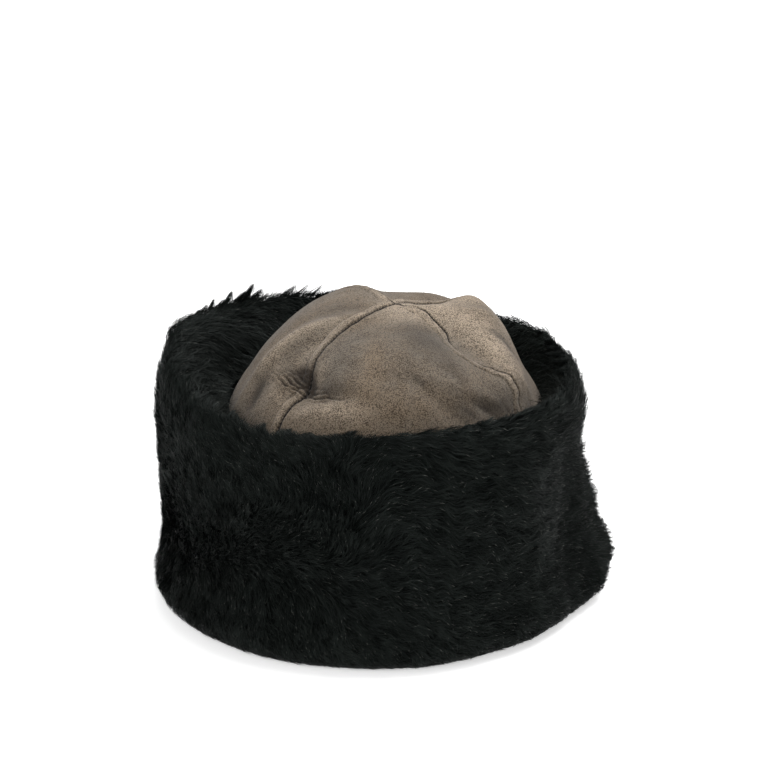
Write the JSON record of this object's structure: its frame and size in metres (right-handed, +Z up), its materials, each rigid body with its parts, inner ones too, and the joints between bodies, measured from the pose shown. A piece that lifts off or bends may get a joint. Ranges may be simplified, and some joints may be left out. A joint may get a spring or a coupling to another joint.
{
  "type": "shearling hat",
  "caption": "Soft shearling hat: a domed crown of sewn suede panels rising from a deep turned-up cuff of long black fur, open below for the head.",
  "frame": {"origin": "middle of the hat's box at the height of the surface that its cuff stands on", "axes": "+Z up through the crown, -Y to the front of the hat, +X to the right as seen from the front"},
  "size_m": [0.266, 0.254, 0.1749],
  "materials": {
    "suede": "matt brushed suede, grey-brown, mottled",
    "fur": "long soft black fur with a slight sheen"
  },
  "bodies": {
    "root": {"crown_front": "suede", "crown_right": "suede", "crown_back": "suede", "crown_left": "suede", "cuff_left": "fur", "cuff_right": "fur"}
  },
  "joints": []
}
